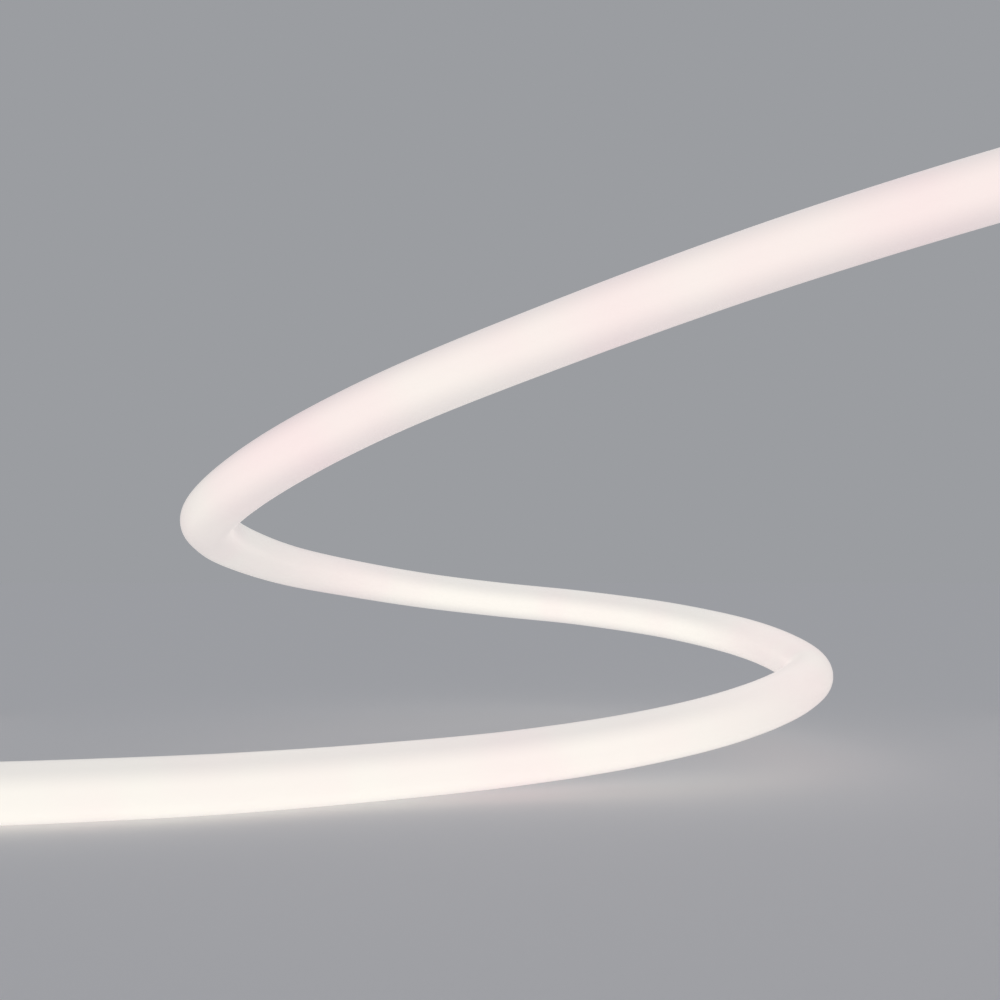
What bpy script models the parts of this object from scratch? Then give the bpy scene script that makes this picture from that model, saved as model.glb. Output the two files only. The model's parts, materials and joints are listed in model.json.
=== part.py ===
"""Round LED neon flex, a 2 m length of lit silicone tube with a cap on each end.

The flex keeps the rising curve of one turn and lies on a level floor at its ends.
Metres, +X to the right, +Y to the back, +Z up, Z = 0 on the floor.
"""
import math

import bmesh
import bpy
from mathutils import Vector

# The flex
TUBE_DIAMETER = 0.020
FLEX_LENGTH = 2.000
TUBE_BEVEL_RESOLUTION = 4
ROUTE_STEP = 0.026
CURVE_PIECES = 24

# The caps on the two ends
CAP_CLEARANCE = 0.0003
CAP_WALL = 0.0015
CAP_GRIP = 0.024
CAP_END_WALL = 0.004
CAP_ROUND = 0.0012
ROUND_STEPS = 3
CAP_SEGMENTS = 32
LIP_CHAMFER = 0.0006

# The boss on the feed cap that a lead goes into
BOSS_DIAMETER = 0.012
BOSS_LENGTH = 0.012
INLET_BORE = 0.0065
INLET_DEPTH = 0.010

# The caps are wider than the flex, so on the floor they hold its ends up this much
CAP_LIFT_MM = (CAP_CLEARANCE + CAP_WALL) * 1000

# The flex's route in millimetres, from the feed end to the last straight run. The
# third value is the height of the flex's underside above the floor. The points of the
# rising turn were placed by eye and then adjusted to the outline in the photograph, to
# whole or half millimetres; the two ends, which it doesn't show, lead down to the floor.
ROUTE_MM = [
    (-325, 144, CAP_LIFT_MM),
    (-325, 117, CAP_LIFT_MM),
    (-325, 95, CAP_LIFT_MM),
    (-325, 65, 1),
    (-325, 33, 0),
    (-324, 0, 0),
    (-319, -34, 0),
    (-303, -66, 0),
    (-273, -88, 0),
    (-234, -96, 0),
    (-191, -95, 0),
    (-148, -89, 0),
    (-100, -78, 0),
    (-53, -63, 0.5),
    (0, -49, 3),
    (48, -40, 8.5),
    (88, -30, 16),
    (119, -10, 24),
    (134, 23, 30),
    (125, 76, 38.5),
    (92, 121, 46.5),
    (44, 148, 53),
    (-6, 152, 58),
    (-49, 138, 63.5),
    (-87, 109, 70.5),
    (-110, 69, 76.5),
    (-121, 22, 83),
    (-121, -21, 88.5),
    (-110, -61, 94.5),
    (-81, -90, 108.5),
    (-40, -105, 126.5),
    (15, -122, 145),
    (73, -138, 162.5),
    (131, -150, 178),
    (191, -152.5, 194),
    (238, -145, 209),
    (276, -125, 212),
    (304, -94, 200),
    (318, -60, 173),
    (323, -31, 140),
    (325, -8, 109),
    (325, 12, 84),
    (325, 32, 58),
    (325, 52, 35),
    (325, 72, 17),
    (325, 91, 6),
    (325, 109, CAP_LIFT_MM),
    (325, 122, CAP_LIFT_MM),
    (325, 136, CAP_LIFT_MM),
]


def tube_radius():
    return TUBE_DIAMETER / 2


def cap_bore_radius():
    return tube_radius() + CAP_CLEARANCE


def cap_radius():
    return cap_bore_radius() + CAP_WALL


def new_material(name, colour, roughness, glow=0.0):
    """A plain finish; glow is the strength of the light that it gives off."""
    material = bpy.data.materials.new(name)
    material.use_nodes = True
    shader = material.node_tree.nodes["Principled BSDF"]
    shader.inputs["Base Color"].default_value = (*colour, 1.0)
    shader.inputs["Roughness"].default_value = roughness
    shader.inputs["Metallic"].default_value = 0.0
    shader.inputs["Emission Color"].default_value = (*colour, 1.0)
    shader.inputs["Emission Strength"].default_value = glow
    material.diffuse_color = (*colour, 1.0)
    return material


def add_object(name, data, material, collection):
    item = bpy.data.objects.new(name, data)
    data.materials.append(material)
    collection.objects.link(item)
    return item


def route_points():
    """The route's points in metres, on the flex's centre line."""
    return [Vector((x, y, lift)) / 1000 + Vector((0, 0, tube_radius())) for x, y, lift in ROUTE_MM]


def smooth_curve(route):
    """Close points along a Catmull-Rom curve through the route."""
    ends = [route[0] * 2 - route[1], *route, route[-1] * 2 - route[-2]]
    curve = []
    for before, start, end, after in zip(ends, ends[1:], ends[2:], ends[3:]):
        for index in range(CURVE_PIECES):
            t = index / CURVE_PIECES
            curve.append(0.5 * (2 * start + (end - before) * t
                                + (2 * before - 5 * start + 4 * end - after) * t ** 2
                                + (3 * start - before - 3 * end + after) * t ** 3))
    return curve + [route[-1]]


def centre_line(length, step):
    """Even points along the route, which runs on straight until the length is used up.

    The floor holds the flex up, so no point is nearer to it than the flex's radius.
    """
    route = route_points()
    curve = smooth_curve(route)
    curve.append(route[-1] + (route[-1] - route[-2]).normalized() * length)
    travelled = [0.0]
    for start, end in zip(curve, curve[1:]):
        travelled.append(travelled[-1] + (end - start).length)
    steps = round(length / step)
    points = []
    cursor = 0
    for index in range(steps + 1):
        wanted = length * index / steps
        while travelled[cursor + 1] < wanted:
            cursor += 1
        share = (wanted - travelled[cursor]) / (travelled[cursor + 1] - travelled[cursor])
        place = curve[cursor].lerp(curve[cursor + 1], share)
        place.z = max(place.z, tube_radius())
        points.append(place)
    return points


def build_tube(points, material, collection):
    curve = bpy.data.curves.new("flex_tube", "CURVE")
    curve.dimensions = "3D"
    curve.bevel_depth = tube_radius()
    curve.bevel_resolution = TUBE_BEVEL_RESOLUTION
    curve.use_fill_caps = True
    spline = curve.splines.new("POLY")
    spline.points.add(len(points) - 1)
    for point, place in zip(spline.points, points):
        point.co = (*place, 1.0)
    return add_object("flex_tube", curve, material, collection)


def turned_mesh(name, profile):
    """A solid of revolution about Z. The profile runs from the axis to the axis."""
    mesh = bpy.data.meshes.new(name)
    shape = bmesh.new()
    corners = [shape.verts.new((radius, 0.0, height)) for radius, height in profile]
    for start, end in zip(corners, corners[1:]):
        shape.edges.new((start, end))
    bmesh.ops.spin(shape, geom=shape.verts[:] + shape.edges[:], cent=(0, 0, 0), axis=(0, 0, 1),
                   dvec=(0, 0, 0), angle=math.tau, steps=CAP_SEGMENTS, use_merge=True)
    bmesh.ops.remove_doubles(shape, verts=shape.verts, dist=0.00001)
    bmesh.ops.recalc_face_normals(shape, faces=shape.faces)
    shape.to_mesh(mesh)
    shape.free()
    mesh.shade_smooth()
    mesh.set_sharp_from_angle(angle=math.radians(30))
    return mesh


def sleeve_profile():
    """The socket for the tube's end, the lip round it and the outside up to the end face.

    The tube's end is at height 0 and the cap's end face is at CAP_END_WALL.
    """
    outer = cap_radius()
    profile = [
        (0.0, CAP_CLEARANCE),
        (cap_bore_radius(), CAP_CLEARANCE),
        (cap_bore_radius(), -CAP_GRIP),
        (outer - LIP_CHAMFER, -CAP_GRIP),
        (outer, -CAP_GRIP + LIP_CHAMFER),
    ]
    for step in range(ROUND_STEPS + 1):
        angle = math.pi / 2 * step / ROUND_STEPS
        profile.append((outer - CAP_ROUND + CAP_ROUND * math.cos(angle),
                        CAP_END_WALL - CAP_ROUND + CAP_ROUND * math.sin(angle)))
    return profile


def end_cap_mesh():
    return turned_mesh("end_cap", sleeve_profile() + [(0.0, CAP_END_WALL)])


def feed_cap_mesh():
    bore = INLET_BORE / 2
    boss = BOSS_DIAMETER / 2
    tip = CAP_END_WALL + BOSS_LENGTH
    profile = sleeve_profile() + [
        (boss, CAP_END_WALL),
        (boss, tip - LIP_CHAMFER),
        (boss - LIP_CHAMFER, tip),
        (bore, tip),
        (bore, tip - INLET_DEPTH),
        (0.0, tip - INLET_DEPTH),
    ]
    return turned_mesh("feed_cap", profile)


def place_on_end(item, tip, outward):
    """Stand a cap on the tube's end, with its own Z pointing out of the tube."""
    item.location = tip
    item.rotation_mode = "QUATERNION"
    item.rotation_quaternion = outward.to_track_quat("Z", "X")


def main():
    for item in list(bpy.data.objects):
        bpy.data.objects.remove(item, do_unlink=True)
    collection = bpy.data.collections.new("neon_flex")
    bpy.context.scene.collection.children.link(collection)

    silicone = new_material("milky_silicone", (0.95, 0.91, 0.89), 0.35, glow=1.0)
    cap_silicone = new_material("cap_silicone", (0.84, 0.83, 0.81), 0.45)

    points = centre_line(FLEX_LENGTH, ROUTE_STEP)
    build_tube(points, silicone, collection)

    feed_cap = add_object("feed_cap", feed_cap_mesh(), cap_silicone, collection)
    place_on_end(feed_cap, points[0], points[0] - points[1])
    end_cap = add_object("end_cap", end_cap_mesh(), cap_silicone, collection)
    place_on_end(end_cap, points[-1], points[-1] - points[-2])


main()
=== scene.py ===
# %% [markdown]
# LED neon flex: a lit tube of milky silicone, 20 mm thick and 2 m long.
# The construction model gives the real sizes and places, so it is loaded first as a fixed frame.
# Everything below dresses that frame: the lit jacket, the two moulded caps, their finishes,
# and a plain pale studio. Each step says what the real thing is and why it is made this way.
# All lengths are in metres. The floor is at height 0, and the photograph looks along +Y.

# %% Load the frame and note its box
import json
import math

import bmesh
import bpy
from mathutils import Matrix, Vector

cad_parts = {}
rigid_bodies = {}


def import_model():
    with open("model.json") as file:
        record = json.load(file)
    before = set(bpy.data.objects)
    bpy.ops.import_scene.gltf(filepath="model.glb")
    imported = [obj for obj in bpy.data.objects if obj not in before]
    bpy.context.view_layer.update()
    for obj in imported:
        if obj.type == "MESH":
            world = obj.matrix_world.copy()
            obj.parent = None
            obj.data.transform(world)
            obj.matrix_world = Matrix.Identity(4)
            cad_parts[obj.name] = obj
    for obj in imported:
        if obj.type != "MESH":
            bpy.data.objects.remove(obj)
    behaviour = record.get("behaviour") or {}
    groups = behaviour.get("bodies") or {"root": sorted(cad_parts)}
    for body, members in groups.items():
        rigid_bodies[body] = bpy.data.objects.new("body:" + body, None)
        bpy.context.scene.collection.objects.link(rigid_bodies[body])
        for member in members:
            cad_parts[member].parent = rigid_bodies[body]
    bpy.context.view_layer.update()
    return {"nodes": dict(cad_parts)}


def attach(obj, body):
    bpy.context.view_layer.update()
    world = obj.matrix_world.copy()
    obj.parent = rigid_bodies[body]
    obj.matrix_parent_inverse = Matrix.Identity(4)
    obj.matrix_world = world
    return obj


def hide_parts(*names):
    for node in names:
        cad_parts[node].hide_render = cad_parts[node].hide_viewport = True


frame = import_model()
print("nodes in the frame:", sorted(frame["nodes"]))

# %% [markdown]
# The camera stands low in front of the flex, a little under its middle height, and looks
# slightly up, so the near stretches look thick and the far one thin. A place in front of the
# loop and one tilt are enough. The lens follows from how fast the flex thins with distance.

# %% Camera
CAMERA_PLACE = Vector((-0.004, -0.402, 0.0792))
CAMERA_TILT = math.radians(4.94)
SENSOR_WIDTH = 36.0
# The lens as a share of the sensor's width
FOCAL_SHARE = 0.92885
NEAREST_SEEN = 0.01

camera_data = bpy.data.cameras.new("camera")
camera_data.sensor_width = SENSOR_WIDTH
camera_data.lens = SENSOR_WIDTH * FOCAL_SHARE
camera_data.clip_start = NEAREST_SEEN
camera = bpy.data.objects.new("camera", camera_data)
camera.location = CAMERA_PLACE
camera.rotation_euler = (math.pi / 2 + CAMERA_TILT, 0.0, 0.0)
bpy.context.scene.collection.objects.link(camera)
bpy.context.scene.camera = camera
print("camera lens, mm:", round(camera_data.lens, 2))

# %% [markdown]
# The flex is sold by length, so its route is a list of points on its centre line: from its
# feed end along the floor, up through one open turn, and over an arch back down to the floor.
# The points of the stretch in view were placed, then moved a few millimetres by a
# fit to the outline in the photograph and rounded to whole or half millimetres. The rest
# were chosen for even bends.

# %% The route of the flex
FLEX_RADIUS = 0.010
FLEX_LENGTH = 2.000

# Points on the centre line
ROUTE = [
    (-0.325, 0.144, 0.0118), (-0.325, 0.117, 0.0118), (-0.325, 0.095, 0.0118),
    (-0.325, 0.065, 0.011), (-0.325, 0.033, 0.01), (-0.324, 0.000, 0.01),
    (-0.319, -0.034, 0.01), (-0.303, -0.066, 0.01), (-0.273, -0.088, 0.01),
    (-0.234, -0.096, 0.01), (-0.191, -0.095, 0.01), (-0.148, -0.089, 0.01),
    (-0.100, -0.078, 0.01), (-0.053, -0.063, 0.0105), (0.000, -0.049, 0.013),
    (0.048, -0.040, 0.0185), (0.088, -0.030, 0.026), (0.119, -0.010, 0.034),
    (0.134, 0.023, 0.04), (0.125, 0.076, 0.0485), (0.092, 0.121, 0.0565),
    (0.044, 0.148, 0.063), (-0.006, 0.152, 0.068), (-0.049, 0.138, 0.0735),
    (-0.087, 0.109, 0.0805), (-0.110, 0.069, 0.0865), (-0.121, 0.022, 0.093),
    (-0.121, -0.021, 0.0985), (-0.110, -0.061, 0.1045), (-0.081, -0.090, 0.1185),
    (-0.040, -0.105, 0.1365), (0.015, -0.122, 0.155), (0.073, -0.138, 0.1725),
    (0.131, -0.150, 0.188), (0.191, -0.1525, 0.204), (0.238, -0.145, 0.219),
    (0.276, -0.125, 0.222), (0.304, -0.094, 0.21), (0.318, -0.060, 0.183),
    (0.323, -0.031, 0.15), (0.325, -0.008, 0.119), (0.325, 0.012, 0.094),
    (0.325, 0.032, 0.068), (0.325, 0.052, 0.045), (0.325, 0.072, 0.027),
    (0.325, 0.091, 0.016), (0.325, 0.109, 0.0118), (0.325, 0.122, 0.0118),
    (0.325, 0.136, 0.0118),
]
print("points chosen for the route:", len(ROUTE))

# %% [markdown]
# A Catmull-Rom curve passes through every chosen point and bends evenly from one to the next.
# Its own points lie closer where the chosen ones do, so a walk along it takes one every few
# millimetres, until the whole length of the flex is used up. Past the last chosen point the
# walk goes straight on.

# %% An even centre line through the route
CURVE_PIECES = 24
RING_STEP = 0.0035


def smooth_curve(route):
    """Close points along a Catmull-Rom curve through the route."""
    ends = [route[0] * 2 - route[1], *route, route[-1] * 2 - route[-2]]
    curve = []
    for before, start, end, after in zip(ends, ends[1:], ends[2:], ends[3:]):
        for index in range(CURVE_PIECES):
            t = index / CURVE_PIECES
            curve.append(0.5 * (2 * start + (end - before) * t
                                + (2 * before - 5 * start + 4 * end - after) * t ** 2
                                + (3 * start - before - 3 * end + after) * t ** 3))
    return curve + [route[-1]]


def centre_line(length, step):
    """Even points along the route; the floor keeps each of them a radius up."""
    route = [Vector(point) for point in ROUTE]
    curve = smooth_curve(route)
    curve.append(route[-1] + (route[-1] - route[-2]).normalized() * length)
    travelled = [0.0]
    for start, end in zip(curve, curve[1:]):
        travelled.append(travelled[-1] + (end - start).length)
    steps = round(length / step)
    points = []
    cursor = 0
    for index in range(steps + 1):
        wanted = length * index / steps
        while travelled[cursor + 1] < wanted:
            cursor += 1
        share = (wanted - travelled[cursor]) / (travelled[cursor + 1] - travelled[cursor])
        place = curve[cursor].lerp(curve[cursor + 1], share)
        place.z = max(place.z, FLEX_RADIUS)
        points.append(place)
    return points


flex_line = centre_line(FLEX_LENGTH, RING_STEP)
print("points on the centre line:", len(flex_line))

# %% [markdown]
# Colours are written as the hex values that a colour picker shows, and one function turns
# them to the linear values that shaders count in.

# %% Colours
def colour(code):
    """The linear colour of an sRGB hex value such as 'f4ebe6'."""
    channels = []
    for index in (0, 2, 4):
        value = int(code[index:index + 2], 16) / 255
        channels.append(value / 12.92 if value <= 0.04045 else ((value + 0.055) / 1.055) ** 2.4)
    return (*channels, 1.0)


print("milky white in linear values:", [round(v, 3) for v in colour("f4ebe6")])

# %% [markdown]
# One small function adds any node with its settings and links and hands back one of its
# outputs, so that each node group below reads as a short recipe from the inside of the
# material or shape outwards. Every finish is a Principled shader, so a second function sets
# the constants on that shader's own sockets.

# %% Nodes and finishes
MATH = "ShaderNodeMath"
VECTOR = "ShaderNodeVectorMath"
RANGE = "ShaderNodeMapRange"
MIX = "ShaderNodeMix"
NOISE = "ShaderNodeTexNoise"
BUMP = "ShaderNodeBump"
# A Map Range node with this setting starts and ends softly
SOFT = {"interpolation_type": "SMOOTHSTEP"}
# A Mix node's sockets go by number: 0 is the share of the second value. Plain numbers go
# into 2 and 3 and come out of 0, and colours go into 6 and 7 and come out of 2.
TINTS = {"data_type": "RGBA", "out": 2}


def add_node(tree, kind, inputs=(), out=0, **settings):
    """Add a node with its settings and links, and return one of its outputs.

    The inputs are a tuple in the node's own order, or a dictionary by name or number.
    With out=None the node itself comes back.
    """
    node = tree.nodes.new(kind)
    for name, value in settings.items():
        setattr(node, name, value)
    for key, value in inputs.items() if isinstance(inputs, dict) else enumerate(inputs):
        if isinstance(value, bpy.types.NodeSocket):
            tree.links.new(value, node.inputs[key])
        else:
            node.inputs[key].default_value = value
    return node if out is None else node.outputs[out]


def new_finish(name, constants):
    """A material whose Principled shader has these constants; with its tree and shader."""
    finish = bpy.data.materials.new(name)
    finish.use_nodes = True
    shader = finish.node_tree.nodes["Principled BSDF"]
    for label, value in constants.items():
        shader.inputs[label].default_value = value
    return finish, finish.node_tree, shader


print("settings for a mix of colours:", TINTS)

# %% [markdown]
# The jacket is silicone with a white diffuser mixed in, extruded round a strip of lamps that
# never shows, so the eye sees an even glow with soft changes in it. One flat emission would
# look like cut paper, so the glow is built in three steps. All of them read the attribute
# "lay": the distance along the flex, then the place across its section to the side and
# upwards. So the glow follows every bend and has no seam.
# The first step goes round the section and paints shade into the glow. Each flank is
# brightest a little under its middle, and the glow falls off to painted shade along the top
# and the bottom, as on the outline of a round tube. In the two ends of the turn the painted
# shade is duller and more even, so that the near and the far run meet without a crease.

# %% Jacket glow, step one: painted shade round the section
# The bright line's drop, the half width of its full glow and where the painted shade is
# deepest, in degrees round the section, for the first run, the back of the turn and the rest
DROPS = (12, 16, 10)
HALF_WIDTHS = (20, 8, 8)
DIMMEST = (69, 60, 69)
# Where the back of the turn takes over and gives way, along the flex
BACK_BEGINS = (0.62, 0.78)
BACK_ENDS = (0.95, 1.10)
# The two stretches with duller, more even painted shade: where each sets in, is full, begins
# to fade and is over along the flex, and then how deep its painted shade is
EVEN_SHADE_BENDS = ((0.57, 0.66, 0.725, 0.80, 0.50), (0.94, 1.11, 1.15, 1.25, 0.85))


def painted_band_shade(tree, along, side, up):
    """Painted shade: 0 on the bright line of each flank and 1 where the section is dimmest."""
    flank = add_node(tree, MATH, (side,), operation="ABSOLUTE")
    climb = add_node(tree, MATH, (up, flank), operation="ARCTAN2")
    band = []
    for degrees in (DROPS, HALF_WIDTHS, DIMMEST):
        first, back, rest = (math.radians(value) for value in degrees)
        begun = add_node(tree, RANGE, (along, *BACK_BEGINS, first, back), **SOFT)
        band.append(add_node(tree, RANGE, (along, *BACK_ENDS, begun, rest), **SOFT))
    drop, half_width, dimmest = band
    lifted = add_node(tree, MATH, (climb, drop), operation="ADD")
    off_line = add_node(tree, MATH, (lifted,), operation="ABSOLUTE")
    dimness = add_node(tree, RANGE, (off_line, half_width, dimmest), **SOFT)
    # At the two bends the painted shade is pulled towards one even level
    for onset, full, waning, over, level in EVEN_SHADE_BENDS:
        risen = add_node(tree, RANGE, (along, onset, full), **SOFT)
        share = add_node(tree, RANGE, (along, waning, over, risen, 0.0), **SOFT)
        dimness = add_node(tree, MIX, {0: share, 2: dimness, 3: level})
    return dimness


print("bright line under the middle of each flank, mm:",
      [round(math.sin(math.radians(drop)) * FLEX_RADIUS * 1000, 1) for drop in DROPS])

# %% [markdown]
# The second step goes along the flex. The glow swings from cream to pink, because the lamps
# come from mixed batches, and the far part is pinker as a whole because the current drops
# along the strip. A noise with patches of a few centimetres keeps the swings uneven.

# %% Jacket glow, step two: batches along the flex
# Middle and half length of the pinker batches, and how much cream the middle of one loses
PINK_BATCHES = ((0.17, 0.07), (0.535, 0.06), (0.70, 0.10), (1.03, 0.08), (1.25, 0.05),
                (1.365, 0.03), (1.44, 0.05), (1.66, 0.06), (1.86, 0.07))
BATCH_SWING = 0.5
# How creamy the near and the far part are, and where the one changes to the other
CREAM_LEVELS = (0.95, 0.60)
FAR_PART = (1.08, 1.20)
# The noise's patches, how far they swing, and the part of its range that is used for it
CLOUD_SIZE = 0.030
CLOUD_SWING = 0.50
CLOUD_RANGE = (0.25, 0.75)


def cream_share(tree, lay, along):
    """1 where the light is cream and 0 where it is pink."""
    cream = add_node(tree, RANGE, (along, *FAR_PART, *CREAM_LEVELS), **SOFT)
    for middle, reach in PINK_BATCHES:
        past = add_node(tree, MATH, (along, middle), operation="SUBTRACT")
        away = add_node(tree, MATH, (past,), operation="ABSOLUTE")
        share = add_node(tree, RANGE, (away, 0.0, reach, BATCH_SWING, 0.0), **SOFT)
        cream = add_node(tree, MATH, (cream, share), operation="SUBTRACT")
    cloud = add_node(tree, NOISE, {"Vector": lay, "Scale": 1 / CLOUD_SIZE, "Detail": 1.0})
    swing = add_node(tree, RANGE, (cloud, *CLOUD_RANGE, -CLOUD_SWING / 2, CLOUD_SWING / 2))
    return add_node(tree, MATH, (cream, swing), operation="ADD", use_clamp=True)


print("metres of the flex in pinker batches:", round(2 * sum(reach for _, reach in PINK_BATCHES), 2))

# %% [markdown]
# The third step puts the two together. Where the shade is painted, the light is multiplied by
# a pale cool grey, which takes a little of it and most of all its warmth. The glow also fades
# into both caps, as the last lamps sit a few centimetres inside the ends.

# %% Jacket glow, step three: its colour
CREAM_LIGHT = colour("fdf8ee")
PINK_LIGHT = colour("ffeae7")
# The pale cool grey that the painted shade multiplies the light by
SHADE_GREY = colour("e2e3e6")
# How much of the glow is left at the very ends, and the length over which it fades to that
END_GLOW = 0.55
END_FADE = 0.060


def glow_colour(tree):
    """The attribute "lay", and the jacket's light at each place, with its painted shade."""
    lay = add_node(tree, "ShaderNodeAttribute", out="Vector", attribute_name="lay")
    along, side, up = add_node(tree, "ShaderNodeSeparateXYZ", (lay,), None).outputs
    cream = cream_share(tree, lay, along)
    light = add_node(tree, MIX, {0: cream, 6: PINK_LIGHT, 7: CREAM_LIGHT}, **TINTS)
    # The painted shade's colour: the light times a pale cool grey
    edge = add_node(tree, MIX, {0: 1.0, 6: light, 7: SHADE_GREY}, **TINTS, blend_type="MULTIPLY")
    dimness = painted_band_shade(tree, along, side, up)
    glow = add_node(tree, MIX, {0: dimness, 6: light, 7: edge}, **TINTS)
    first = add_node(tree, RANGE, (along, 0.0, END_FADE, END_GLOW, 1.0), **SOFT)
    fading = FLEX_LENGTH - END_FADE
    last = add_node(tree, RANGE, (along, fading, FLEX_LENGTH, 1.0, END_GLOW), **SOFT)
    fade = add_node(tree, MATH, (first, last), operation="MULTIPLY")
    return lay, add_node(tree, VECTOR, {0: glow, "Scale": fade}, operation="SCALE")


print("cream and pink light:", [[round(v, 3) for v in light] for light in (CREAM_LIGHT, PINK_LIGHT)])

# %% [markdown]
# Under the glow the jacket is still a satin skin. Silicone has an index of about 1.41 and
# scatters light a few millimetres deep. A die leaves a grain finer than a millimetre that
# shows only in the gloss. A clear coat of low index stands for the skin itself: light that
# leaves at a slant is held back in it, which softens the outline of the tube.

# %% Jacket finish: extruded diffuser silicone, lit
GLOW_STRENGTH = 0.85
JACKET_WHITE = colour("bcb8b6")
SKIN_TINT = colour("fafafa")
# The die's grain is finer than this on the real skin, and is drawn coarser so that it shows
DIE_GRAIN = 0.0006
DIE_DEPTH = 0.00004


def jacket_finish():
    """The lit jacket's material."""
    finish, tree, shader = new_finish("silicone_extruded_milky_lit", {
        "Base Color": JACKET_WHITE, "Roughness": 0.45, "IOR": 1.41,
        "Subsurface Weight": 0.3, "Subsurface Radius": (1.0, 0.85, 0.8),
        "Subsurface Scale": 0.004, "Coat Weight": 1.0, "Coat Roughness": 0.35,
        "Coat IOR": 1.12, "Coat Tint": SKIN_TINT, "Emission Strength": GLOW_STRENGTH})
    lay, glow = glow_colour(tree)
    grain = add_node(tree, NOISE, {"Vector": lay, "Scale": 1 / DIE_GRAIN, "Detail": 2.0})
    bump = add_node(tree, BUMP, {"Height": grain, "Strength": 0.15, "Distance": DIE_DEPTH})
    tree.links.new(glow, shader.inputs["Emission Color"])
    tree.links.new(bump, shader.inputs["Normal"])
    return finish


silicone_lit = jacket_finish()
print("jacket finish has", len(silicone_lit.node_tree.nodes), "nodes")

# %% [markdown]
# The jacket's shape and the caps' ribs follow rules, so Geometry Nodes make them. Every tree
# starts and ends alike, so that is written once: named sizes go in, and the result is made
# smooth, real and dressed. The tree then runs on a simple mesh, and what comes out is baked
# to a plain mesh.

# %% Start, end and run of every shape tree
def start_tree(name, sizes):
    """A geometry tree with named size inputs; returns the tree, its inputs and its output."""
    tree = bpy.data.node_groups.new(name, "GeometryNodeTree")
    tree.is_modifier = True
    tree.interface.new_socket("Geometry", in_out="INPUT", socket_type="NodeSocketGeometry")
    for label, value in sizes.items():
        kind = "NodeSocketInt" if isinstance(value, int) else "NodeSocketFloat"
        socket = tree.interface.new_socket(label, in_out="INPUT", socket_type=kind)
        socket.default_value = value
    tree.interface.new_socket("Material", in_out="INPUT", socket_type="NodeSocketMaterial")
    tree.interface.new_socket("Geometry", in_out="OUTPUT", socket_type="NodeSocketGeometry")
    return tree, tree.nodes.new("NodeGroupInput").outputs, tree.nodes.new("NodeGroupOutput")


def end_tree(tree, geometry, given, out):
    """Smooth shading, Realize Instances and Set Material, the last steps of every tree."""
    smooth = add_node(tree, "GeometryNodeSetShadeSmooth", (geometry,))
    real = add_node(tree, "GeometryNodeRealizeInstances", (smooth,))
    dressed = add_node(tree, "GeometryNodeSetMaterial",
                       {"Geometry": real, "Material": given["Material"]})
    tree.links.new(dressed, out.inputs[0])
    return tree


def run_tree(name, mesh, tree, sizes, finish):
    """Put the tree on a mesh and bake the result to a plain mesh object at the origin."""
    source = bpy.data.objects.new(name + "_source", mesh)
    bpy.context.scene.collection.objects.link(source)
    modifier = source.modifiers.new("shape", "NODES")
    modifier.node_group = tree
    wanted = {**sizes, "Material": finish}
    for item in tree.interface.items_tree:
        if item.in_out == "INPUT" and item.name in wanted:
            modifier[item.identifier] = wanted[item.name]
    graph = bpy.context.evaluated_depsgraph_get()
    baked = bpy.data.meshes.new_from_object(source.evaluated_get(graph), depsgraph=graph)
    bpy.data.objects.remove(source)
    baked.name = name
    piece = bpy.data.objects.new(name, baked)
    bpy.context.scene.collection.objects.link(piece)
    print(name, "faces:", len(baked.polygons), "box:", [round(v, 4) for v in piece.dimensions])
    return piece


# %% [markdown]
# The jacket itself is one round section drawn along the route, so the tree sweeps it: the
# centre line goes in as a string of edges, a circle runs along it, and the ends are closed.
# On the way each ring keeps where its centre lies, which way the flex heads there and how far
# along it is, as the swept mesh no longer knows its centre line.

# %% Jacket shape, step one: the swept section
JACKET_SIDES = 64


def sweep_section(tree, given):
    """The tube, and what each of its rings remembers of the centre line."""
    line = add_node(tree, "GeometryNodeMeshToCurve", {"Mesh": given["Geometry"]})
    upright = add_node(tree, "GeometryNodeSetCurveNormal", {"Curve": line}, mode="Z_UP")
    keep = add_node(tree, "GeometryNodeCaptureAttribute", {"Geometry": upright}, None,
                    domain="POINT")
    place = add_node(tree, "GeometryNodeInputPosition")
    heading = add_node(tree, "GeometryNodeInputTangent")
    travelled = add_node(tree, "GeometryNodeSplineParameter", out="Length")
    for label, kind, value in (("Centre", "VECTOR", place), ("Tangent", "VECTOR", heading),
                               ("Along", "FLOAT", travelled)):
        keep.capture_items.new(kind, label)
        tree.links.new(value, keep.inputs[label])
    section = add_node(tree, "GeometryNodeCurvePrimitiveCircle",
                       {"Resolution": given["Sides"], "Radius": given["Radius"]})
    tube = add_node(tree, "GeometryNodeCurveToMesh",
                    {"Curve": keep.outputs["Geometry"], "Profile Curve": section,
                     "Fill Caps": True})
    return tube, keep.outputs


print("width of a jacket face, mm:", round(math.tau * FLEX_RADIUS / JACKET_SIDES * 1000, 2))

# %% [markdown]
# The glow needs to know how each point of the skin lies in the flex, so the tree stores
# "lay". Up is the world's up, made square to the flex, and sideways is square to both. They
# turn smoothly with the route, because the flex never stands upright.

# %% Jacket shape, step two: the attribute for the glow
UPWARDS = (0.0, 0.0, 1.0)


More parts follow.
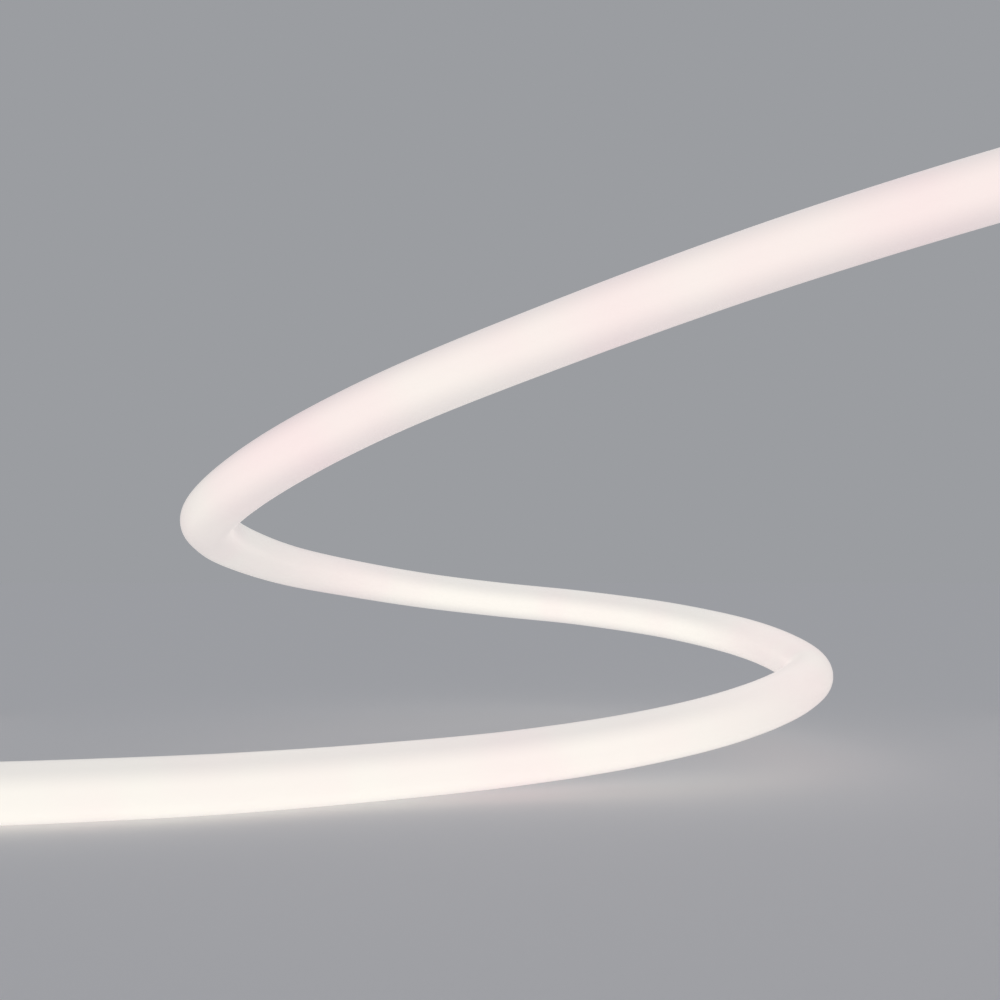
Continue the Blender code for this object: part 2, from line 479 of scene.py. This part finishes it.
def store_lay(tree, tube, kept):
    """Store how far along, how far sideways and how far up each point of the tube lies."""
    tangent = add_node(tree, VECTOR, (kept["Tangent"],), operation="NORMALIZE")
    slant = add_node(tree, VECTOR, (tangent, UPWARDS), "Value", operation="DOT_PRODUCT")
    lean = add_node(tree, VECTOR, {0: tangent, "Scale": slant}, operation="SCALE")
    square = add_node(tree, VECTOR, (UPWARDS, lean), operation="SUBTRACT")
    up = add_node(tree, VECTOR, (square,), operation="NORMALIZE")
    sideways = add_node(tree, VECTOR, (tangent, up), operation="CROSS_PRODUCT")
    place = add_node(tree, "GeometryNodeInputPosition")
    spoke = add_node(tree, VECTOR, (place, kept["Centre"]), operation="SUBTRACT")
    lay = add_node(tree, "ShaderNodeCombineXYZ", (
        kept["Along"],
        add_node(tree, VECTOR, (spoke, sideways), "Value", operation="DOT_PRODUCT"),
        add_node(tree, VECTOR, (spoke, up), "Value", operation="DOT_PRODUCT")))
    return add_node(tree, "GeometryNodeStoreNamedAttribute",
                    {"Geometry": tube, "Name": "lay", "Value": lay},
                    data_type="FLOAT_VECTOR", domain="POINT")


slants = [abs((end - start).normalized().z) for start, end in zip(flex_line, flex_line[1:])]
print("steepest stretch of the flex, degrees:", round(math.degrees(math.asin(max(slants))), 1))

# %% [markdown]
# A real extrusion is never quite even: the die leaves a ripple along the flex. A few
# hundredths of a millimetre are enough to keep the gloss from looking machined.

# %% Jacket shape, step three: the ripple of the die
RIPPLE_HEIGHT = 0.00004
RIPPLE_LENGTH = 0.030


def add_ripple(tree, marked, given):
    """Move the skin in and out by a slow noise along the flex."""
    stored = add_node(tree, "GeometryNodeInputNamedAttribute", {"Name": "lay"},
                      data_type="FLOAT_VECTOR")
    pitch = add_node(tree, MATH, (1.0, given["Ripple Length"]), operation="DIVIDE")
    noise = add_node(tree, NOISE, {"Vector": stored, "Scale": pitch, "Detail": 2.0})
    deep = add_node(tree, MATH, (given["Ripple Height"], -1.0), operation="MULTIPLY")
    swell = add_node(tree, RANGE, (noise, 0.0, 1.0, deep, given["Ripple Height"]))
    outward = add_node(tree, "GeometryNodeInputNormal")
    offset = add_node(tree, VECTOR, {0: outward, "Scale": swell}, operation="SCALE")
    return add_node(tree, "GeometryNodeSetPosition", {"Geometry": marked, "Offset": offset})


def jacket_tree():
    """The whole jacket: sweep, attribute and ripple."""
    tree, given, out = start_tree("jacket_sweep", {
        "Radius": FLEX_RADIUS, "Sides": JACKET_SIDES,
        "Ripple Height": RIPPLE_HEIGHT, "Ripple Length": RIPPLE_LENGTH})
    tube, kept = sweep_section(tree, given)
    marked = store_lay(tree, tube, kept)
    return end_tree(tree, add_ripple(tree, marked, given), given, out)


line_mesh = bpy.data.meshes.new("centre_line")
line_mesh.from_pydata(flex_line, [(i, i + 1) for i in range(len(flex_line) - 1)], [])
jacket = run_tree("flex_jacket", line_mesh, jacket_tree(), {"Radius": FLEX_RADIUS}, silicone_lit)

# %% [markdown]
# Both ends wear a compression-moulded silicone cap. It is a turned shape, so its half section
# is a list of radius and height pairs that is spun about the axis: a socket for the jacket, a
# soft lip and a wall, which both caps share, and then an end of its own for each.

# %% Cap section, the shared sleeve
CAP_CLEARANCE = 0.0003
CAP_WALL = 0.0015
CAP_GRIP = 0.024
CAP_END_WALL = 0.004
CAP_ROUND = 0.0012
LIP_ROUND = 0.0006
WALL_RINGS = 44

cap_bore = FLEX_RADIUS + CAP_CLEARANCE
cap_radius = cap_bore + CAP_WALL


def arc(centre_r, centre_z, radius, start, end, steps=5):
    """Points of a quarter round in the half section; angles in degrees from outward."""
    points = []
    for index in range(steps + 1):
        angle = math.radians(start + (end - start) * index / steps)
        points.append((centre_r + radius * math.cos(angle), centre_z + radius * math.sin(angle)))
    return points


def sleeve_section():
    """From the socket's floor, out round the lip and up the wall to the end face's edge."""
    section = [(0.0, CAP_CLEARANCE), (cap_bore, CAP_CLEARANCE), (cap_bore, -CAP_GRIP + LIP_ROUND)]
    section += arc(cap_bore + LIP_ROUND, -CAP_GRIP + LIP_ROUND, LIP_ROUND, 180, 270)
    section += arc(cap_radius - LIP_ROUND, -CAP_GRIP + LIP_ROUND, LIP_ROUND, 270, 360)
    low, high = -CAP_GRIP + LIP_ROUND, CAP_END_WALL - CAP_ROUND
    for index in range(1, WALL_RINGS):
        section.append((cap_radius, low + (high - low) * index / WALL_RINGS))
    section += arc(cap_radius - CAP_ROUND, high, CAP_ROUND, 0, 90)
    return section


print("points in the sleeve's section:", len(sleeve_section()))

# %% [markdown]
# The far cap has nothing to let through, so its end face is plain but for a shallow dish. The
# feed cap has a boss with the hole that a lead goes into. Three soft grooves round the boss
# leave seal rings between them. All of this is turned with the cap, so it is only more points
# in the section.

# %% Cap sections, the two ends
DISH_RADIUS = 0.0078
DISH_DEPTH = 0.0004
# The dish's edge: how far outside its radius each point lies, and at what share of its depth
DISH_EDGE = ((0.0006, 0.0), (0.0002, 0.2), (-0.0002, 0.8), (-0.0006, 1.0))
BOSS_RADIUS = 0.006
BOSS_LENGTH = 0.012
BOSS_FILLET = 0.0010
INLET_RADIUS = 0.00325
INLET_DEPTH = 0.010
GROOVE_COUNT = 3
FIRST_GROOVE = 0.0034
GROOVE_PITCH = 0.0028
GROOVE_DEPTH = 0.0005
# A groove has this many steps on each side of its middle, each of this height
GROOVE_STEPS = 4
GROOVE_STEP = 0.00022


def end_section():
    """The plain cap: its end face has a shallow dish with a soft edge."""
    edge = [(DISH_RADIUS + out, CAP_END_WALL - DISH_DEPTH * share) for out, share in DISH_EDGE]
    return sleeve_section() + edge + [(0.0, CAP_END_WALL - DISH_DEPTH)]


def feed_section():
    """The feed cap: a fillet, a boss with grooves, and the blind inlet in its tip."""
    tip = CAP_END_WALL + BOSS_LENGTH
    section = sleeve_section()
    section += arc(BOSS_RADIUS + BOSS_FILLET, CAP_END_WALL + BOSS_FILLET, BOSS_FILLET, 270, 180)
    for groove in range(GROOVE_COUNT):
        middle = CAP_END_WALL + FIRST_GROOVE + groove * GROOVE_PITCH
        for step in range(-GROOVE_STEPS, GROOVE_STEPS + 1):
            depth = GROOVE_DEPTH * (0.5 + 0.5 * math.cos(math.pi * step / GROOVE_STEPS))
            section.append((BOSS_RADIUS - depth, middle + step * GROOVE_STEP))
    section += arc(BOSS_RADIUS - LIP_ROUND, tip - LIP_ROUND, LIP_ROUND, 0, 90)
    section += arc(INLET_RADIUS + LIP_ROUND, tip - LIP_ROUND, LIP_ROUND, 90, 180)
    return section + [(INLET_RADIUS, tip - INLET_DEPTH), (0.0, tip - INLET_DEPTH)]


print("points in the cap sections:", len(end_section()), len(feed_section()))

# %% [markdown]
# Spinning a section that begins and ends on the axis closes the shape, but it leaves a whole
# stack of points at each pole, so doubles are merged. Only then are the faces turned
# outwards, because on loose faces Blender can't tell the outside.

# %% Cap blanks: the sections spun
CAP_SEGMENTS = 192
SAME_PLACE = 0.000002


def turned(name, section):
    """Spin a half section about Z into one closed skin, faces out."""
    shape = bmesh.new()
    corners = [shape.verts.new((radius, 0.0, height)) for radius, height in section]
    for start, end in zip(corners, corners[1:]):
        shape.edges.new((start, end))
    bmesh.ops.spin(shape, geom=shape.verts[:] + shape.edges[:], cent=(0, 0, 0), axis=(0, 0, 1),
                   dvec=(0, 0, 0), angle=math.tau, steps=CAP_SEGMENTS, use_merge=True)
    bmesh.ops.remove_doubles(shape, verts=shape.verts, dist=SAME_PLACE)
    bmesh.ops.recalc_face_normals(shape, faces=shape.faces)
    mesh = bpy.data.meshes.new(name)
    shape.to_mesh(mesh)
    shape.free()
    return mesh


feed_blank = turned("feed_cap_blank", feed_section())
end_blank = turned("end_cap_blank", end_section())
print("faces of the cap blanks:", len(feed_blank.polygons), len(end_blank.polygons))

# %% [markdown]
# The caps are the same silicone family as the jacket but not lit. They are greyer and
# matter, with the fine texture of a spark-eroded mould. A painted glow in the lip stands for
# the jacket's light and fades along the cap, which ties the cap to the glow. The cap's own
# height is stored as an attribute before it is stood on the flex, so this fade follows the piece.

# %% Cap finish: compression-moulded silicone
CAP_PALE = colour("dedad5")
CAP_DARK = colour("d4d0cb")
CAP_CLOUD = 0.006
# Painted glow: the cap is no lamp, and this emission stands for the jacket's light in its lip
PAINTED_LIP_GLOW = colour("fff0e7")
NO_LIGHT = colour("000000")
LIP_GLOW_STRENGTH = 0.55
# A spark-eroded texture is about 0.1 mm wide, and is drawn coarser here so that it shows
MOULD_GRAIN = 0.0005
MOULD_DEPTH = 0.00006


def cap_finish():
    """The unlit caps' material."""
    finish, tree, shader = new_finish("silicone_moulded_grey_white", {
        "Roughness": 0.5, "IOR": 1.41, "Subsurface Weight": 0.4,
        "Subsurface Radius": (1.0, 0.9, 0.8), "Subsurface Scale": 0.003,
        "Emission Strength": LIP_GLOW_STRENGTH})
    height = add_node(tree, "ShaderNodeAttribute", out="Fac", attribute_name="cap_height")
    # The painted glow is full at the lip and gone at the end face
    leak = add_node(tree, RANGE, (height, -CAP_GRIP, CAP_END_WALL, 1.0, 0.0), **SOFT)
    lit = add_node(tree, MIX, {0: leak, 6: NO_LIGHT, 7: PAINTED_LIP_GLOW}, **TINTS)
    spot = add_node(tree, "ShaderNodeTexCoord", out="Object")
    cloud = add_node(tree, NOISE, {"Vector": spot, "Scale": 1 / CAP_CLOUD, "Detail": 2.0})
    body = add_node(tree, MIX, {0: cloud, 6: CAP_DARK, 7: CAP_PALE}, **TINTS)
    grain = add_node(tree, NOISE, {"Vector": spot, "Scale": 1 / MOULD_GRAIN, "Detail": 3.0})
    bump = add_node(tree, BUMP, {"Height": grain, "Strength": 0.35, "Distance": MOULD_DEPTH})
    tree.links.new(body, shader.inputs["Base Color"])
    tree.links.new(lit, shader.inputs["Emission Color"])
    tree.links.new(bump, shader.inputs["Normal"])
    return finish


silicone_moulded = cap_finish()
print("cap finish has", len(silicone_moulded.node_tree.nodes), "nodes")

# %% [markdown]
# Moulded caps like these have low ribs round the wall, so that wet fingers can push them on.
# A rib could be a thin bar, copied round, but then it would be loose from the wall. Here the
# wall's own points sink between the ribs: a cosine of the angle gives as many crests as
# there are ribs, and the relief runs out softly at both ends. The crests keep the cap's size.

# %% Cap shape: grip ribs in the wall
RIB_COUNT = 32
RIB_HEIGHT = 0.0004
# Where the ribs begin and end on the cap, whose height 0 is at the tip of the flex in it
RIB_LOW = -0.0195
RIB_HIGH = 0.0005
RIB_RUN_OUT = 0.0018
# Up to the first value of the cosine a groove is full, and from the second on it is a rib
CREST_RANGE = (-0.75, 0.35)
# Points this close to the cap's radius are its outer wall
WALL_MARGIN = 0.0001


def cap_tree():
    """The ribs, pressed into a turned blank, and the height that the finish reads."""
    tree, given, out = start_tree("cap_ribs", {
        "Rib Count": RIB_COUNT, "Rib Height": RIB_HEIGHT, "Rib Low": RIB_LOW,
        "Rib High": RIB_HIGH, "Run Out": RIB_RUN_OUT, "Wall Radius": cap_radius})
    place = add_node(tree, "GeometryNodeInputPosition")
    x, y, z = add_node(tree, "ShaderNodeSeparateXYZ", (place,), None).outputs

    # 1 in the middle of a groove and 0 on a rib
    angle = add_node(tree, MATH, (y, x), operation="ARCTAN2")
    turns = add_node(tree, MATH, (angle, given["Rib Count"]), operation="MULTIPLY")
    crest = add_node(tree, MATH, (turns,), operation="COSINE")
    groove = add_node(tree, RANGE, (crest, *CREST_RANGE, 1.0, 0.0), **SOFT)

    # The grooves run out towards the lip and the end face, and lie only in the outer wall
    low_end = add_node(tree, MATH, (given["Rib Low"], given["Run Out"]), operation="ADD")
    rise = add_node(tree, RANGE, (z, given["Rib Low"], low_end), **SOFT)
    high_end = add_node(tree, MATH, (given["Rib High"], given["Run Out"]), operation="SUBTRACT")
    fall = add_node(tree, RANGE, (z, high_end, given["Rib High"], 1.0, 0.0), **SOFT)
    flat = add_node(tree, "ShaderNodeCombineXYZ", (x, y))
    radius = add_node(tree, VECTOR, (flat,), "Value", operation="LENGTH")
    inner = add_node(tree, MATH, (given["Wall Radius"], WALL_MARGIN), operation="SUBTRACT")
    depth = add_node(tree, MATH, (radius, inner), operation="GREATER_THAN")
    for share in (groove, rise, fall, given["Rib Height"], -1.0):
        depth = add_node(tree, MATH, (depth, share), operation="MULTIPLY")

    outward = add_node(tree, VECTOR, (flat,), operation="NORMALIZE")
    offset = add_node(tree, VECTOR, {0: outward, "Scale": depth}, operation="SCALE")
    marked = add_node(tree, "GeometryNodeStoreNamedAttribute",
                      {"Geometry": given["Geometry"], "Name": "cap_height", "Value": z},
                      data_type="FLOAT", domain="POINT")
    ribbed = add_node(tree, "GeometryNodeSetPosition", {"Geometry": marked, "Offset": offset})
    return end_tree(tree, ribbed, given, out)


ribs = cap_tree()
rib_sizes = {"Rib Count": RIB_COUNT}
feed_cap = run_tree("feed_cap_moulding", feed_blank, ribs, rib_sizes, silicone_moulded)
end_cap = run_tree("end_cap_moulding", end_blank, ribs, rib_sizes, silicone_moulded)

# %% [markdown]
# The caps were made about the origin and now go onto the flex. Their objects stay there,
# unturned: the turn and the place go into the mesh, so patterns keep still.

# %% Caps on the two ends
def stand_on_end(piece, tip, inward):
    """Turn the cap's own Z out of the flex and bake its place into the mesh."""
    turn = (tip - inward).to_track_quat("Z", "X").to_matrix().to_4x4()
    turn.translation = tip
    piece.data.transform(turn)
    piece.data.update()


stand_on_end(feed_cap, flex_line[0], flex_line[1])
stand_on_end(end_cap, flex_line[-1], flex_line[-2])
print("tips of the flex inside the caps:",
      [[round(v, 4) for v in tip] for tip in (flex_line[0], flex_line[-1])])

# %% [markdown]
# Each piece now rides on the root body, and the solid of the frame that it stands for is
# hidden.

# %% Tie the pieces to the frame
for piece, node, slot in ((jacket, "flex_tube", "flex_silicone"),
                          (feed_cap, "feed_cap", "cap_silicone"),
                          (end_cap, "end_cap", "cap_silicone")):
    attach(piece, "root")
    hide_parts(node)
print("pieces on the root body:", jacket.name, feed_cap.name, end_cap.name)

# %% [markdown]
# The studio is plain. Its floor is a wide sheet of pale, matt paper, whose fibres only break
# up the shading a little. The sheet lies a hair under the flex, so that no face of the two
# is in the same place.

# %% Floor: a sheet of pale paper
PAPER = colour("e8e8ea")
# Fibres are much finer, and are drawn a millimetre apart so that they count at all
PAPER_FIBRE = 0.001
PAPER_DEPTH = 0.0001
FLOOR_SIZE = 60.0
FLOOR_DROP = 0.0002


def paper_finish():
    """The floor's material."""
    finish, tree, shader = new_finish("studio_paper_pale", {
        "Base Color": PAPER, "Roughness": 0.9, "Specular IOR Level": 0.0})
    spot = add_node(tree, "ShaderNodeTexCoord", out="Object")
    fibre = add_node(tree, NOISE, {"Vector": spot, "Scale": 1 / PAPER_FIBRE, "Detail": 2.0})
    bump = add_node(tree, BUMP, {"Height": fibre, "Strength": 0.1, "Distance": PAPER_DEPTH})
    tree.links.new(bump, shader.inputs["Normal"])
    return finish


half = FLOOR_SIZE / 2
floor_mesh = bpy.data.meshes.new("studio_floor")
floor_mesh.from_pydata([(-half, -half, 0), (half, -half, 0), (half, half, 0), (-half, half, 0)],
                       [], [(0, 1, 2, 3)])
floor_mesh.materials.append(paper_finish())
floor = bpy.data.objects.new("studio_floor", floor_mesh)
floor.location.z = -FLOOR_DROP
bpy.context.scene.collection.objects.link(floor)
print("floor side, m:", FLOOR_SIZE)

# %% [markdown]
# The surround has the brightness that the lit paper has, so the two meet without a hard
# line, as on a studio sweep. One very soft lamp from above does the rest. All of it is kept
# under full brightness, so that the lit flex stands out and its light pools on the paper
# beside it. The plain view transform keeps a picked colour as it was picked.

# %% Surround and lamp
SURROUND = colour("9b9da1")
LAMP_STRENGTH = 0.28
LAMP_SOFTNESS = math.radians(80)
LAMP_TURN = (math.radians(-20), math.radians(15), 0.0)

world = bpy.data.worlds.new("studio_surround")
world.use_nodes = True
world.node_tree.nodes["Background"].inputs["Color"].default_value = SURROUND
bpy.context.scene.world = world

lamp = bpy.data.lights.new("soft_lamp", "SUN")
lamp.energy = LAMP_STRENGTH
lamp.angle = LAMP_SOFTNESS
lamp_item = bpy.data.objects.new("soft_lamp", lamp)
lamp_item.rotation_euler = LAMP_TURN
bpy.context.scene.collection.objects.link(lamp_item)

bpy.context.scene.view_settings.view_transform = "Standard"
print("lamp strength and surround:", LAMP_STRENGTH, [round(v, 3) for v in SURROUND])
